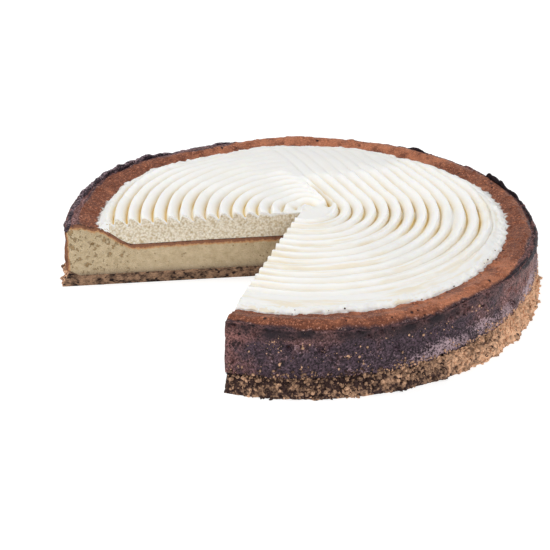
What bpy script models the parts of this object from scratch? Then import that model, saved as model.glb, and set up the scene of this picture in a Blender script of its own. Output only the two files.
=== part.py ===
"""A baked cheesecake, 28 cm across, with a wedge taken out of it.

Three solids stand on one axis: the crumb base, the baked filling with its raised rim and torn lip, and the
combed cream on top.  Each is a profile of radius and height carried round the axis from one cut face to the
other, so the three show as layers on both cuts.  Lengths are in metres and +Z is up.  The origin is on the
table, under the middle of the cake.
"""
import math
import random

import bpy

MM = 0.001
GAP = 0.3 * MM                      # clearance between two layers

# The wedge that is missing: azimuths of the two cut faces, anticlockwise from +X.
FIRST_CUT = -107.0
LAST_CUT = 187.0

# Crumb base.
FOOT_RADIUS = 143.0 * MM
BASE_THICKNESS = 6.5 * MM
FOOT_RAGGEDNESS = 1.3 * MM
CRUMB_INSIDE = 131.0 * MM           # where the crumbs start to climb the side of the filling
CRUMB_OUTSIDE = 138.4 * MM
CRUMB_TOPS = ((-107.0, 10.0 * MM), (-70.0, 10.6 * MM), (-40.0, 14.0 * MM), (-15.0, 14.5 * MM),
              (30.0, 12.0 * MM), (187.0, 10.5 * MM))        # azimuth, and height of the climbing crumbs
STEP = 6.0                          # degrees between two profiles of a layer

# Baked filling.
WALL_RADIUS = 140.0 * MM
WALL_WAIST = 1.6 * MM               # how far the wall draws in below the lip
WALL_WAVE = 1.1 * MM
SKIN_HEIGHT = 26.0 * MM             # browned skin under the cream, at the middle
SKIN_TROUGH = 25.5 * MM
TROUGH_RADIUS = 98.0 * MM
RIM_RADIUS = 130.0 * MM
RIM_CRESTS = ((-107.0, 40.4 * MM), (-70.0, 39.0 * MM), (-30.0, 40.3 * MM), (10.0, 38.6 * MM),
              (60.0, 37.3 * MM), (110.0, 37.1 * MM), (142.0, 38.9 * MM), (187.0, 40.0 * MM))
SHOULDER_RADIUS = 137.6 * MM        # where the browned top turns into the dark side
SHOULDERS = ((-107.0, 39.4 * MM), (-90.0, 37.2 * MM), (-70.0, 35.6 * MM), (-46.0, 38.7 * MM),
             (-25.0, 38.9 * MM), (5.0, 35.3 * MM), (45.0, 34.8 * MM), (122.0, 34.3 * MM),
             (140.0, 36.2 * MM), (157.0, 38.2 * MM), (187.0, 38.5 * MM))

# Combed cream.
CREAM_RADIUS = 120.5 * MM
CREAM_CREST = 42.2 * MM
RIDGE_DEPTH = 4.6 * MM
RIDGE_PITCH = 7.35 * MM
RIDGES = 14
CREST_PHASE = 0.72                  # where the crest stands between two valleys
FIRST_VALLEY = 6.0 * MM
SWIRL_CENTRE = (2.5 * MM, 4.0 * MM)
PEAK_HEIGHT = 42.8 * MM             # top of the small curl at the swirl's centre
CREAM_EDGE_DROP = 1.3 * MM          # how far the cream's edge lies below the rim's crest
EDGE_RAGGEDNESS = 1.2 * MM
LEFT_DRAW = 2.2 * MM                # how far the edge draws in towards the last cut
UNDER_CREAM = (0.25, 0.5, 0.68, 0.78, 0.85, 0.91, 0.955)    # shares of CREAM_RADIUS where skin and cream meet

# The comb's track runs outwards between these azimuths, and ends at a seam.
SWEEP_START = 20.0
SWEEP_END = 92.0
SWEEP_SHARE = 0.42                  # a ridge's outward run, as a share of its distance to SWEEP_LIMIT
SWEEP_LIMIT = 95.0 * MM             # ridges beyond this radius keep it
SWEEP_HUB = 20.0 * MM               # ridges inside this radius run out less and less
SEAM_WIDTH = 12.0                   # degrees in which the track is back at its own radius

# Torn, dark lip: azimuth of each flap's middle, half its width in degrees, and its height.
LIP_FLAPS = (
    (180.0, 14.0, 1.3 * MM),
    (158.0, 18.0, 2.9 * MM),
    (139.0, 15.0, 3.6 * MM),
    (118.0, 12.0, 1.6 * MM),
    (56.0, 7.0, 2.6 * MM),
    (24.0, 7.0, 4.2 * MM),
    (12.0, 14.0, 2.3 * MM),
    (-18.0, 24.0, 0.9 * MM),
)


def smooth_step(value, low, high):
    """0 below low, 1 above high, and an even S between them."""
    share = min(max((value - low) / (high - low), 0.0), 1.0)
    return share * share * (3.0 - 2.0 * share)


def along(points, value):
    """Height at value on the polyline of (position, height) points, eased between two points."""
    for (start, low), (end, high) in zip(points, points[1:]):
        if value <= end:
            return low + (high - low) * smooth_step(value, start, end)
    return points[-1][1]


def wave(azimuth, counts, phase=0.0):
    """Uneven wave round the cake, from -1 to 1: the mean of one sine for each count of turns."""
    turn = math.radians(azimuth)
    return sum(math.sin(count * turn + phase + 1.7 * count) for count in counts) / len(counts)


def azimuths(step):
    """The first cut, each whole multiple of step between the cuts, and the last cut."""
    first = math.ceil((FIRST_CUT + 0.5 * step) / step)
    last = math.floor((LAST_CUT - 0.5 * step) / step)
    return [FIRST_CUT] + [step * index for index in range(first, last + 1)] + [LAST_CUT]


def new_material(name, colour, roughness):
    material = bpy.data.materials.new(name)
    material.use_nodes = True
    shader = material.node_tree.nodes["Principled BSDF"]
    shader.inputs["Base Color"].default_value = (*colour, 1.0)
    shader.inputs["Roughness"].default_value = roughness
    shader.inputs["Metallic"].default_value = 0.0
    return material


def layer(name, profile_at, step, material):
    """A closed layer of the cake.

    profile_at(azimuth) gives, from the top middle outwards and back to the bottom middle, a list of
    (radius, height) whose first and last points lie on the axis.
    """
    turns = azimuths(step)
    profiles = [profile_at(azimuth) for azimuth in turns]
    rings = len(profiles[0]) - 2
    vertices = [(0.0, 0.0, profiles[0][0][1]), (0.0, 0.0, profiles[0][-1][1])]
    for azimuth, profile in zip(turns, profiles):
        across = math.cos(math.radians(azimuth))
        along_y = math.sin(math.radians(azimuth))
        vertices += [(radius * across, radius * along_y, height) for radius, height in profile[1:-1]]

    def column(index):
        """Vertex numbers of one profile, from the top pole to the bottom pole."""
        start = 2 + index * rings
        return [0] + list(range(start, start + rings)) + [1]

    faces = []
    for index in range(len(turns) - 1):
        here, there = column(index), column(index + 1)
        faces.append((here[0], here[1], there[1]))
        for ring in range(1, rings):
            faces.append((here[ring], here[ring + 1], there[ring + 1], there[ring]))
        faces.append((here[rings], here[rings + 1], there[rings]))
    faces.append(tuple(reversed(column(0))))
    faces.append(tuple(column(len(turns) - 1)))

    mesh = bpy.data.meshes.new(name)
    mesh.from_pydata(vertices, [], faces)
    mesh.materials.append(material)
    mesh.shade_smooth()
    mesh.set_sharp_from_angle(angle=math.radians(40.0))
    solid = bpy.data.objects.new(name, mesh)
    bpy.context.collection.objects.link(solid)
    return solid


def foot_depth(azimuth):
    """How far the ragged foot stands back: nothing on the X and Y axes, so the cake keeps its width."""
    clear_of_axes = math.sin(math.radians(2.0 * azimuth)) ** 2
    return clear_of_axes * FOOT_RAGGEDNESS * (0.5 + 0.5 * wave(azimuth, (7, 13, 22)))


def crumb_base():
    """Flat disc of pressed crumbs that climbs the filling's side in a ragged, rounded foot."""
    chance = random.Random(11)

    def profile(azimuth):
        edge = FOOT_RADIUS - foot_depth(azimuth)
        top = along(CRUMB_TOPS, azimuth)
        loose = [chance.uniform(-0.3, 0.3) * MM for _ in range(3)]
        return [
            (0.0, BASE_THICKNESS),
            (CRUMB_INSIDE, BASE_THICKNESS),
            (CRUMB_OUTSIDE, top),
            (CRUMB_OUTSIDE + 2.2 * MM, top + loose[0] - 0.5 * MM),
            (edge - 0.4 * MM + 0.5 * loose[1], 0.72 * top),
            (edge, 0.42 * top),
            (edge - 1.5 * MM + loose[2], 0.14 * top),
            (edge - 4.0 * MM, 0.0),
            (0.0, 0.0),
        ]

    return layer("crumb_base", profile, STEP, new_material("biscuit_crumb", (0.32, 0.15, 0.06), 0.9))


def skin_height(radius, azimuth):
    """Height of the browned skin: flat in the middle, a trough, then the climb to the rim's crest."""
    crest = along(RIM_CRESTS, azimuth)
    points = (
        (0.0, SKIN_HEIGHT),
        (0.5 * TROUGH_RADIUS, SKIN_HEIGHT),
        (TROUGH_RADIUS, SKIN_TROUGH),
        (TROUGH_RADIUS + 0.72 * (RIM_RADIUS - TROUGH_RADIUS), crest - 2.4 * MM),
        (RIM_RADIUS, crest),
    )
    return along(points, radius)


def lip_rise(azimuth):
    """Extra height of the torn lip: the highest flap that reaches this azimuth."""
    heights = [
        height * (1.0 - smooth_step(abs(azimuth - middle), 0.35 * reach, reach))
        for middle, reach, height in LIP_FLAPS
    ]
    return max(heights) * (0.9 + 0.1 * wave(azimuth, (31, 43)))


def cheese_filling():
    """Baked filling from the crumb base up: browned top, rounded rim, groove, torn lip and waisted wall."""
    bottom = BASE_THICKNESS + GAP

    def profile(azimuth):
        bulge = WALL_RADIUS - WALL_WAVE * (0.5 + 0.5 * wave(azimuth, (5, 9, 14)))
        waist = WALL_WAIST * (0.8 + 0.2 * wave(azimuth, (6, 11), 2.0))
        crest = along(RIM_CRESTS, azimuth)
        shoulder = along(SHOULDERS, azimuth)
        crumbs = along(CRUMB_TOPS, azimuth)
        rise = lip_rise(azimuth)
        wall = shoulder - bottom
        skin = [(share * CREAM_RADIUS, skin_height(share * CREAM_RADIUS, azimuth)) for share in UNDER_CREAM]
        return [(0.0, SKIN_HEIGHT)] + skin + [
            (RIM_RADIUS - 7.0 * MM, crest - 0.7 * MM),
            (RIM_RADIUS - 2.0 * MM, crest),
            (RIM_RADIUS + 2.2 * MM, 0.7 * crest + 0.3 * shoulder),
            (SHOULDER_RADIUS - 2.6 * MM, shoulder + 0.3 * MM + 0.2 * rise),
            (SHOULDER_RADIUS - 1.3 * MM, shoulder + rise),
            (SHOULDER_RADIUS, shoulder - 0.6 * MM + 0.8 * rise),
            (bulge - 1.2 * MM, bottom + 0.86 * wall),
            (bulge - waist, bottom + 0.70 * wall),
            (bulge - 0.4 * waist, bottom + 0.52 * wall),
            (bulge, bottom + 0.36 * wall),
            (bulge - 0.3 * MM, crumbs + 1.3 * MM),
            (CRUMB_OUTSIDE, crumbs + 0.5 * MM),
            (CRUMB_INSIDE - 0.3 * MM, bottom + 0.05 * MM),
            (0.0, bottom),
        ]

    return layer("cheese_filling", profile, STEP, new_material("baked_filling", (0.14, 0.055, 0.035), 0.6))


def sweep(azimuth):
    """Share of the full outward run that the comb's track has made at this azimuth, from 0 to 1."""
    if azimuth <= SWEEP_END:
        return max((azimuth - SWEEP_START) / (SWEEP_END - SWEEP_START), 0.0) ** 3
    return 1.0 - smooth_step(azimuth, SWEEP_END, SWEEP_END + SEAM_WIDTH)


def track_radius(radius, azimuth):
    """Distance from the cake's axis of the track that starts at this radius from the swirl's centre."""
    run = SWEEP_SHARE * max(SWEEP_LIMIT - radius, 0.0) * sweep(azimuth) * smooth_step(radius, 0.0, SWEEP_HUB)
    turn = math.radians(azimuth)
    offset = SWIRL_CENTRE[0] * math.cos(turn) + SWIRL_CENTRE[1] * math.sin(turn)
    calm = 1.0 - smooth_step(radius, 0.6 * CREAM_RADIUS, CREAM_RADIUS)
    return radius + run + offset * calm


def cream_topping():
    """Cream combed into a sawtooth swirl on the skin, with its rim smeared smooth down onto the skin."""
    mid_height = CREAM_CREST - 0.5 * RIDGE_DEPTH
    outer_valley = FIRST_VALLEY + RIDGES * RIDGE_PITCH

    def depth(start, radius, azimuth):
        """Depth of the ridge that starts at one radius and has run out to another.

        It fades at the rim, at the curl in the middle, where the tracks spread and where they run out.
        """
        rim_fade = 1.0 - 0.75 * smooth_step(radius, 0.84 * CREAM_RADIUS, 0.97 * CREAM_RADIUS)
        middle_fade = smooth_step(start, 0.0, 1.6 * RIDGE_PITCH)
        spread = smooth_step(radius - start, 0.5 * RIDGE_PITCH, 4.0 * RIDGE_PITCH)
        flat = smooth_step(azimuth, SWEEP_END - 16.0, SWEEP_END) * (
            1.0 - smooth_step(azimuth, SWEEP_END + SEAM_WIDTH, SWEEP_END + 4.0 * SEAM_WIDTH))
        return RIDGE_DEPTH * rim_fade * middle_fade * (1.0 - 0.6 * spread) * (1.0 - 0.7 * flat)

    def profile(azimuth):
        edge = CREAM_RADIUS + EDGE_RAGGEDNESS * wave(azimuth, (9, 17, 28)) - LEFT_DRAW * smooth_step(
            azimuth, 150.0, 178.0)
        crest = along(RIM_CRESTS, azimuth)
        highest = max(height for _, height in RIM_CRESTS)

        def sag(radius):
            """How far the cream follows a low rim down towards its edge."""
            return (highest - crest) * smooth_step(radius, 0.66 * CREAM_RADIUS, 0.98 * CREAM_RADIUS)

        top = [(0.0, PEAK_HEIGHT)]
        for ridge in range(RIDGES):
            valley = FIRST_VALLEY + ridge * RIDGE_PITCH
            for phase, level in ((0.0, -0.5), (0.5 * CREST_PHASE, 0.12), (CREST_PHASE, 0.5)):
                start = valley + phase * RIDGE_PITCH
                radius = track_radius(start, azimuth)
                top.append((radius, mid_height - sag(radius) + level * depth(start, radius, azimuth)))
        last = track_radius(outer_valley, azimuth)
        top += [
            (last, mid_height - 0.6 * MM - sag(last)),
            (edge - 2.2 * MM, crest - 0.2 * MM),
            (edge, crest - CREAM_EDGE_DROP),
        ]
        floor = [(share * CREAM_RADIUS, skin_height(share * CREAM_RADIUS, azimuth) + GAP) for share in UNDER_CREAM]
        return top + floor[::-1] + [(0.0, SKIN_HEIGHT + GAP)]

    return layer("cream_topping", profile, STEP, new_material("whipped_cream", (0.88, 0.86, 0.75), 0.5))


def main():
    for old in list(bpy.data.objects):
        bpy.data.objects.remove(old, do_unlink=True)
    crumb_base()
    cheese_filling()
    cream_topping()


main()
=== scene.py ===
"""Looks for a baked cheesecake with a wedge taken out: browned filling, crumb base and combed cream.

Each layer is a profile of radius and height carried round the cake's axis from one cut to the other, and
closed by two cut faces.  Lengths are in metres, +Z is up and the cake's axis is the Z axis.
"""
import math

import bpy
import numpy as np
from mathutils import Matrix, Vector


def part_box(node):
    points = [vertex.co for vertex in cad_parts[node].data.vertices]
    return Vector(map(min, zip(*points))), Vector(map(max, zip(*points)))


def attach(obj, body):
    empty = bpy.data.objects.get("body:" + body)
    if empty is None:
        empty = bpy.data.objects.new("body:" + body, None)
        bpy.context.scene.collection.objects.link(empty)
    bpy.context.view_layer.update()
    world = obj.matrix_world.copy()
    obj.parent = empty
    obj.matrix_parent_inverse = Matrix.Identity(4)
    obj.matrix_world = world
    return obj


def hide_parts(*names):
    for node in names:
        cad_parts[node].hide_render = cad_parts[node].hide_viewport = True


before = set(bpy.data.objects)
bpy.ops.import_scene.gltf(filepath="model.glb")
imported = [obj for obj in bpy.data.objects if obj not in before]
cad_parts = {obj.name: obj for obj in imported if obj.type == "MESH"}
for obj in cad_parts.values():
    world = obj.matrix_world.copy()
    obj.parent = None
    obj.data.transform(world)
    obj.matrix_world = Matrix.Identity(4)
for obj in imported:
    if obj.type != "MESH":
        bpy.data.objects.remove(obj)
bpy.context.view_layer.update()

bl_info = {
    "name": "Baked Cheesecake",
    "version": (1, 0, 0),
    "blender": (4, 5, 0),
    "location": "3D View > Sidebar > Cheesecake",
    "description": "Builds a baked cheesecake with combed cream and a wedge taken out",
    "category": "Add Mesh",
}

MM = 0.001
BODY = "root"
FIRST_CUT = -107.0                  # azimuth of each cut face in degrees, anticlockwise from +X
LAST_CUT = 187.0

base_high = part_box("crumb_base")[1]
cream_low, cream_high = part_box("cream_topping")

# ---------------------------------------------------------------- numbers


def smooth_step(value, low, high):
    """0 below low, 1 above high, and the S-curve 3t^2 - 2t^3 of the share t between them."""
    share = np.clip((value - low) / (high - low), 0.0, 1.0)
    return share * share * (3.0 - 2.0 * share)


def eased(value, places, heights):
    """Height at value on a line through (place, height) points, with the S-curve between two points."""
    value = np.asarray(value, float)
    index = np.clip(np.searchsorted(places, value) - 1, 0, len(places) - 2)
    places, heights = np.asarray(places, float), np.asarray(heights, float)
    share = np.clip((value - places[index]) / (places[index + 1] - places[index]), 0.0, 1.0)
    return heights[index] + (heights[index + 1] - heights[index]) * share * share * (3.0 - 2.0 * share)


def lattice(cell, seed):
    """A fixed value from 0 to 1 for each whole-numbered point: its coordinates multiplied and mixed by bits."""
    cell = cell.astype(np.int64).astype(np.uint32)
    mixed = cell[..., 0] * np.uint32(0x8DA6B343) ^ cell[..., 1] * np.uint32(0xD8163841)
    mixed = mixed ^ cell[..., 2] * np.uint32(0xCB1AB31F) ^ np.uint32((seed * 0x9E3779B1) & 0xFFFFFFFF)
    for shift in (13, 16):
        mixed = (mixed ^ (mixed >> np.uint32(shift))) * np.uint32(0x5BD1E995)
    return (mixed ^ (mixed >> np.uint32(15))).astype(float) / 2.0 ** 32


def noise(points, size, seed=0):
    """Smooth noise from -1 to 1 with features of one size: lattice values blended by an S-curve on each axis."""
    place = np.asarray(points, float) / size
    corner = np.floor(place)
    share = place - corner
    share = share * share * (3.0 - 2.0 * share)
    total = 0.0
    for step in np.ndindex(2, 2, 2):
        weight = np.prod(np.where(step, share, 1.0 - share), axis=-1)
        total = total + weight * lattice(corner + step, seed)
    return 2.0 * total - 1.0


def rough(points, size, octaves, seed=0):
    """Noise plus finer noise of half the size and strength, as many times as there are octaves."""
    return sum(0.5 ** level * noise(points, size * 0.5 ** level, seed + level) for level in range(octaves))


def holes(across, up, pitch, share, seed):
    """Round hollows scattered in a plane, as depth in metres: each cell of a grid holds at most one.

    A hollow of radius a goes sqrt(a^2 - d^2) deep at a distance d from its middle.
    """
    cell = np.stack([np.floor(across / pitch), np.floor(up / pitch), np.zeros_like(across)], axis=-1)
    deepest = np.zeros_like(across)
    for step in np.ndindex(3, 3):
        near = cell + np.array([step[0] - 1, step[1] - 1, 0])
        middle = [(near[..., axis] + 0.2 + 0.6 * lattice(near, seed + axis)) * pitch for axis in (0, 1)]
        there = lattice(near, seed + 2) < share
        radius = (0.12 + 0.36 * lattice(near, seed + 3) ** 2.0) * pitch
        squared = radius ** 2 - (across - middle[0]) ** 2 - (up - middle[1]) ** 2
        deepest = np.maximum(deepest, np.where(there, np.sqrt(np.maximum(squared, 0.0)), 0.0))
    return deepest


def grains(points, size, seed):
    """Rounded grains packed in space: height from 0 between two grains to 1 on one, and a value per grain.

    Each cell of a cubic lattice holds one grain's middle, and a point belongs to the nearest.
    """
    place = np.asarray(points, float) / size
    cell = np.floor(place)
    nearest = np.full(place.shape[:-1], 9.0)
    value = np.zeros(place.shape[:-1])
    for step in np.ndindex(3, 3, 3):
        near = cell + np.array(step) - 1.0
        middle = near + np.stack([lattice(near, seed + axis) for axis in range(3)], axis=-1)
        squared = np.sum((place - middle) ** 2, axis=-1)
        closer = squared < nearest
        nearest = np.where(closer, squared, nearest)
        value = np.where(closer, lattice(near, seed + 3), value)
    return np.sqrt(np.maximum(1.0 - nearest, 0.0)), value


def polar(points):
    """Radius from the axis, and azimuth in degrees from just past the missing wedge up to 220."""
    azimuth = np.degrees(np.arctan2(points[..., 1], points[..., 0]))
    return np.hypot(points[..., 0], points[..., 1]), np.where(azimuth < -140.0, azimuth + 360.0, azimuth)


def round_axis(azimuth, radius, height):
    """Points for each azimuth in degrees, radius and height, which broadcast together."""
    turn = np.radians(azimuth)
    return np.stack(np.broadcast_arrays(radius * np.cos(turn), radius * np.sin(turn), height), axis=-1)


# ---------------------------------------------------------------- sizes and colours


class CakeSizes(bpy.types.PropertyGroup):
    """Sizes that the cake's pieces are worked out from."""

    wall_radius: bpy.props.FloatProperty(
        name="Wall radius", description="Radius of the baked wall at its belly",
        default=base_high.x - 3.0 * MM, min=0.05, unit="LENGTH")
    base_thickness: bpy.props.FloatProperty(
        name="Base thickness", description="Thickness of the pressed crumb base",
        default=6.5 * MM, min=0.002, unit="LENGTH")
    cream_radius: bpy.props.FloatProperty(
        name="Cream radius", description="Radius of the cream's edge",
        default=0.5 * (cream_high.x - cream_low.x), min=0.04, unit="LENGTH")
    cream_crest: bpy.props.FloatProperty(
        name="Crest height", description="Height of the cream's ridges above the table",
        default=cream_high.z - 0.3 * MM, min=0.02, unit="LENGTH")
    ridge_depth: bpy.props.FloatProperty(
        name="Ridge depth", description="Height of a ridge above the valleys beside it",
        default=4.6 * MM, min=0.0, unit="LENGTH")
    ridge_pitch: bpy.props.FloatProperty(
        name="Ridge pitch", description="Distance between two ridges",
        default=7.5 * MM, min=0.001, unit="LENGTH")


def colour_property(name, description, default):
    return bpy.props.FloatVectorProperty(
        name=name, description=description, default=default, subtype="COLOR", size=3, min=0.0, max=1.0)


class CakeColours(bpy.types.PropertyGroup):
    """Colours of the cake's surfaces, in linear light."""

    cream: colour_property("Cream", "Smooth cream", (0.90, 0.895, 0.87))
    # Partly the cream's own tint and partly painted shade in the valleys.
    valley: colour_property("Valley", "Cream deep between two ridges", (0.78, 0.57, 0.20))
    cut_cream: colour_property("Cut cream", "Cut face of the cream", (0.88, 0.81, 0.68))
    curd: colour_property("Curd", "Cut face of the filling", (0.60, 0.478, 0.31))
    skin: colour_property("Skin", "Browned top of the filling", (0.190, 0.060, 0.032))
    toast: colour_property("Toast", "Lighter patches of the browned top", (0.51, 0.190, 0.098))
    wall: colour_property("Wall", "Dark baked side", (0.056, 0.034, 0.046))
    bloom: colour_property("Bloom", "Dull lighter patches of the baked side", (0.56, 0.40, 0.44))
    crumb: colour_property("Crumb", "Biscuit crumbs", (1.0, 0.60, 0.375))
    dark_crumb: colour_property("Dark crumb", "Darker biscuit crumbs", (0.060, 0.033, 0.030))


# ---------------------------------------------------------------- materials


def new_tree(tree):
    """Shorthand for placing nodes in a tree: node(kind, inputs by name, properties) and link(output, input)."""

    def node(kind, values=None, **properties):
        made = tree.nodes.new("ShaderNode" + kind)
        for key, value in properties.items():
            setattr(made, key, value)
        for key, value in (values or {}).items():
            if isinstance(value, bpy.types.NodeSocket):
                tree.links.new(value, made.inputs[key])
            else:
                made.inputs[key].default_value = value
        return made

    return node


def new_group(name, inputs, outputs):
    """An empty node group with named sockets, given as (name, socket type, default)."""
    group = bpy.data.node_groups.new(name, "ShaderNodeTree")
    for label, kind, default in inputs:
        socket = group.interface.new_socket(label, in_out="INPUT", socket_type="NodeSocket" + kind)
        if default is not None:
            socket.default_value = default
    for label, kind in outputs:
        group.interface.new_socket(label, in_out="OUTPUT", socket_type="NodeSocket" + kind)
    return group, group.nodes.new("NodeGroupInput").outputs, group.nodes.new("NodeGroupOutput").inputs


def mottle_group():
    """Two colours in soft uneven patches, with flecks of a third over both."""
    group, given, out = new_group(
        "Mottle",
        [("Position", "Vector", None), ("Colour", "Color", None), ("Patch", "Color", None), ("Fleck", "Color", None),
         ("Size", "Float", 0.01), ("Amount", "Float", 0.5), ("Flecks", "Float", 0.4)],
        [("Colour", "Color"), ("Mask", "Float")])
    node = new_tree(group)
    scale = node("Math", {0: 1.0, 1: given["Size"]}, operation="DIVIDE").outputs[0]
    patches = node("TexNoise", {"Vector": given["Position"], "Scale": scale, "Detail": 6.0, "Roughness": 0.68})
    low = node("Math", {0: 0.90, 1: given["Amount"]}, operation="SUBTRACT").outputs[0]
    high = node("Math", {0: 1.14, 1: given["Amount"]}, operation="SUBTRACT").outputs[0]
    mask = node("MapRange", {"Value": patches.outputs[0], "From Min": low, "From Max": high},
                interpolation_type="SMOOTHSTEP").outputs[0]
    mixed = node("Mix", {0: mask, "A": given["Colour"], "B": given["Patch"]}, data_type="RGBA")
    fine = node("Math", {0: scale, 1: 8.0}, operation="MULTIPLY").outputs[0]
    flecks = node("TexNoise", {"Vector": given["Position"], "Scale": fine, "Detail": 3.0, "Roughness": 0.7})
    low = node("Math", {0: 0.80, 1: given["Flecks"]}, operation="SUBTRACT").outputs[0]
    high = node("Math", {0: 0.92, 1: given["Flecks"]}, operation="SUBTRACT").outputs[0]
    spot = node("MapRange", {"Value": flecks.outputs[0], "From Min": low, "From Max": high}).outputs[0]
    result = node("Mix", {0: spot, "A": mixed.outputs[2], "B": given["Fleck"]}, data_type="RGBA")
    group.links.new(result.outputs[2], out["Colour"])
    group.links.new(mask, out["Mask"])
    return group


def pit_group():
    """Small round pits scattered thinly: 1 inside a pit and 0 between them."""
    group, given, out = new_group(
        "Pits",
        [("Position", "Vector", None), ("Size", "Float", 0.003), ("Share", "Float", 0.4)],
        [("Mask", "Float")])
    node = new_tree(group)
    scale = node("Math", {0: 1.0, 1: given["Size"]}, operation="DIVIDE").outputs[0]
    cells = node("TexVoronoi", {"Vector": given["Position"], "Scale": scale})
    chance = node("SeparateColor", {0: cells.outputs["Color"]})
    there = node("Math", {0: chance.outputs[0], 1: given["Share"]}, operation="LESS_THAN").outputs[0]
    reach = node("MapRange", {"Value": chance.outputs[1], "To Min": 0.12, "To Max": 0.34}).outputs[0]
    inner = node("Math", {0: reach, 1: 0.6}, operation="MULTIPLY").outputs[0]
    inside = node("MapRange", {"Value": cells.outputs["Distance"], "From Min": reach, "From Max": inner}).outputs[0]
    result = node("Math", {0: inside, 1: there}, operation="MULTIPLY").outputs[0]
    group.links.new(result, out["Mask"])
    return group


def grain_group():
    """Height of packed grains of one size: rounded cells with finer noise on them, and a value per grain."""
    group, given, out = new_group(
        "Grain",
        [("Position", "Vector", None), ("Size", "Float", 0.001), ("Uneven", "Float", 0.5)],
        [("Height", "Float"), ("Value", "Float")])
    node = new_tree(group)
    scale = node("Math", {0: 1.0, 1: given["Size"]}, operation="DIVIDE").outputs[0]
    bent = node("TexNoise", {"Vector": given["Position"], "Scale": scale, "Detail": 2.0})
    push = node("VectorMath", {0: bent.outputs["Color"], 1: (0.0006, 0.0006, 0.0006)}, operation="MULTIPLY")
    place = node("VectorMath", {0: given["Position"], 1: push.outputs[0]}, operation="ADD").outputs[0]
    cells = node("TexVoronoi", {"Vector": place, "Scale": scale}, feature="SMOOTH_F1")
    round_top = node("MapRange", {"Value": cells.outputs["Distance"], "From Min": 0.7, "From Max": 0.0}).outputs[0]
    uneven = node("Math", {0: bent.outputs[0], 1: given["Uneven"]}, operation="MULTIPLY").outputs[0]
    height = node("Math", {0: round_top, 1: uneven}, operation="ADD").outputs[0]
    value = node("SeparateColor", {0: cells.outputs["Color"]}).outputs[0]
    group.links.new(height, out["Height"])
    group.links.new(value, out["Value"])
    return group


def group_node(tree, name, values):
    """A copy of a shared node group in a tree, with its own values."""
    made = tree.nodes.new("ShaderNodeGroup")
    made.node_tree = bpy.data.node_groups[name]
    for key, value in values.items():
        if isinstance(value, bpy.types.NodeSocket):
            tree.links.new(value, made.inputs[key])
        else:
            made.inputs[key].default_value = value
    return made.outputs


def solid_colour(colour):
    return (*colour, 1.0)


def new_material(name, roughness, shine=0.25):
    """A material with its tree, its Principled shader, a node maker and the object's coordinates."""
    material = bpy.data.materials.new(name)
    material.use_nodes = True
    tree = material.node_tree
    shader = tree.nodes["Principled BSDF"]
    shader.inputs["Roughness"].default_value = roughness
    shader.inputs["Specular IOR Level"].default_value = shine
    node = new_tree(tree)
    position = node("TexCoord").outputs["Object"]
    return material, tree, shader, node, position


def soften(shader, weight, depth):
    """Light that enters the food and leaves a little way off."""
    shader.inputs["Subsurface Weight"].default_value = weight
    shader.inputs["Subsurface Scale"].default_value = depth
    shader.inputs["Subsurface Radius"].default_value = (1.0, 0.75, 0.45)


def bump(tree, node, shader, height, distance, strength=1.0):
    """Fine relief from a height, over a distance in metres."""
    made = node("Bump", {"Height": height, "Distance": distance, "Strength": strength})
    tree.links.new(made.outputs[0], shader.inputs["Normal"])


def attribute(node, name):
    return node("Attribute", attribute_name=name).outputs["Fac"]


def blend(node, share, one, other):
    """One colour at share 0 and the other at share 1; each is a colour or a socket."""
    pair = [value if isinstance(value, bpy.types.NodeSocket) else solid_colour(value) for value in (one, other)]
    return node("Mix", {0: share, "A": pair[0], "B": pair[1]}, data_type="RGBA").outputs[2]


def stretch(node, value, low, high, to_low=0.0, to_high=1.0):
    """A value carried from one range to another, and held at its ends."""
    return node("MapRange", {"Value": value, "From Min": low, "From Max": high, "To Min": to_low,
                             "To Max": to_high}).outputs[0]


def cream_material(colours):
    """Smooth cream: crests painted whiter as a painted highlight, and ochre down in the narrow valleys of the comb,
    partly the cream's own tint and partly painted shade.
    """
    material, tree, shader, node, position = new_material("whipped_cream", 0.45, 0.4)
    # The ochre of the valleys is partly the cream's own yellowish tint and partly painted shade in the creases.
    valley = attribute(node, "valley")
    patches = node("TexNoise", {"Vector": position, "Scale": 60.0, "Detail": 4.0}).outputs[0]
    uneven = stretch(node, patches, 0.3, 0.7, 0.8, 1.5)
    beige = node("Math", {0: valley, 1: 0.28}, operation="MULTIPLY").outputs[0]
    deep = node("Math", {0: valley, 1: 2.3}, operation="POWER").outputs[0]
    deep = node("Math", {0: deep, 1: uneven, 2: beige}, operation="MULTIPLY_ADD", use_clamp=True).outputs[0]
    # Painted highlight: the crests are painted whiter than the rest of the cream.
    white = blend(node, attribute(node, "crest"), colours.cream, (1.0, 1.0, 0.985))
    tree.links.new(blend(node, deep, white, colours.valley), shader.inputs["Base Color"])
    grain = node("TexNoise", {"Vector": position, "Scale": 500.0, "Detail": 5.0, "Roughness": 0.65}).outputs[0]
    bump(tree, node, shader, grain, 0.25 * MM, 0.6)
    soften(shader, 0.15, 2.0 * MM)
    return material


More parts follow.
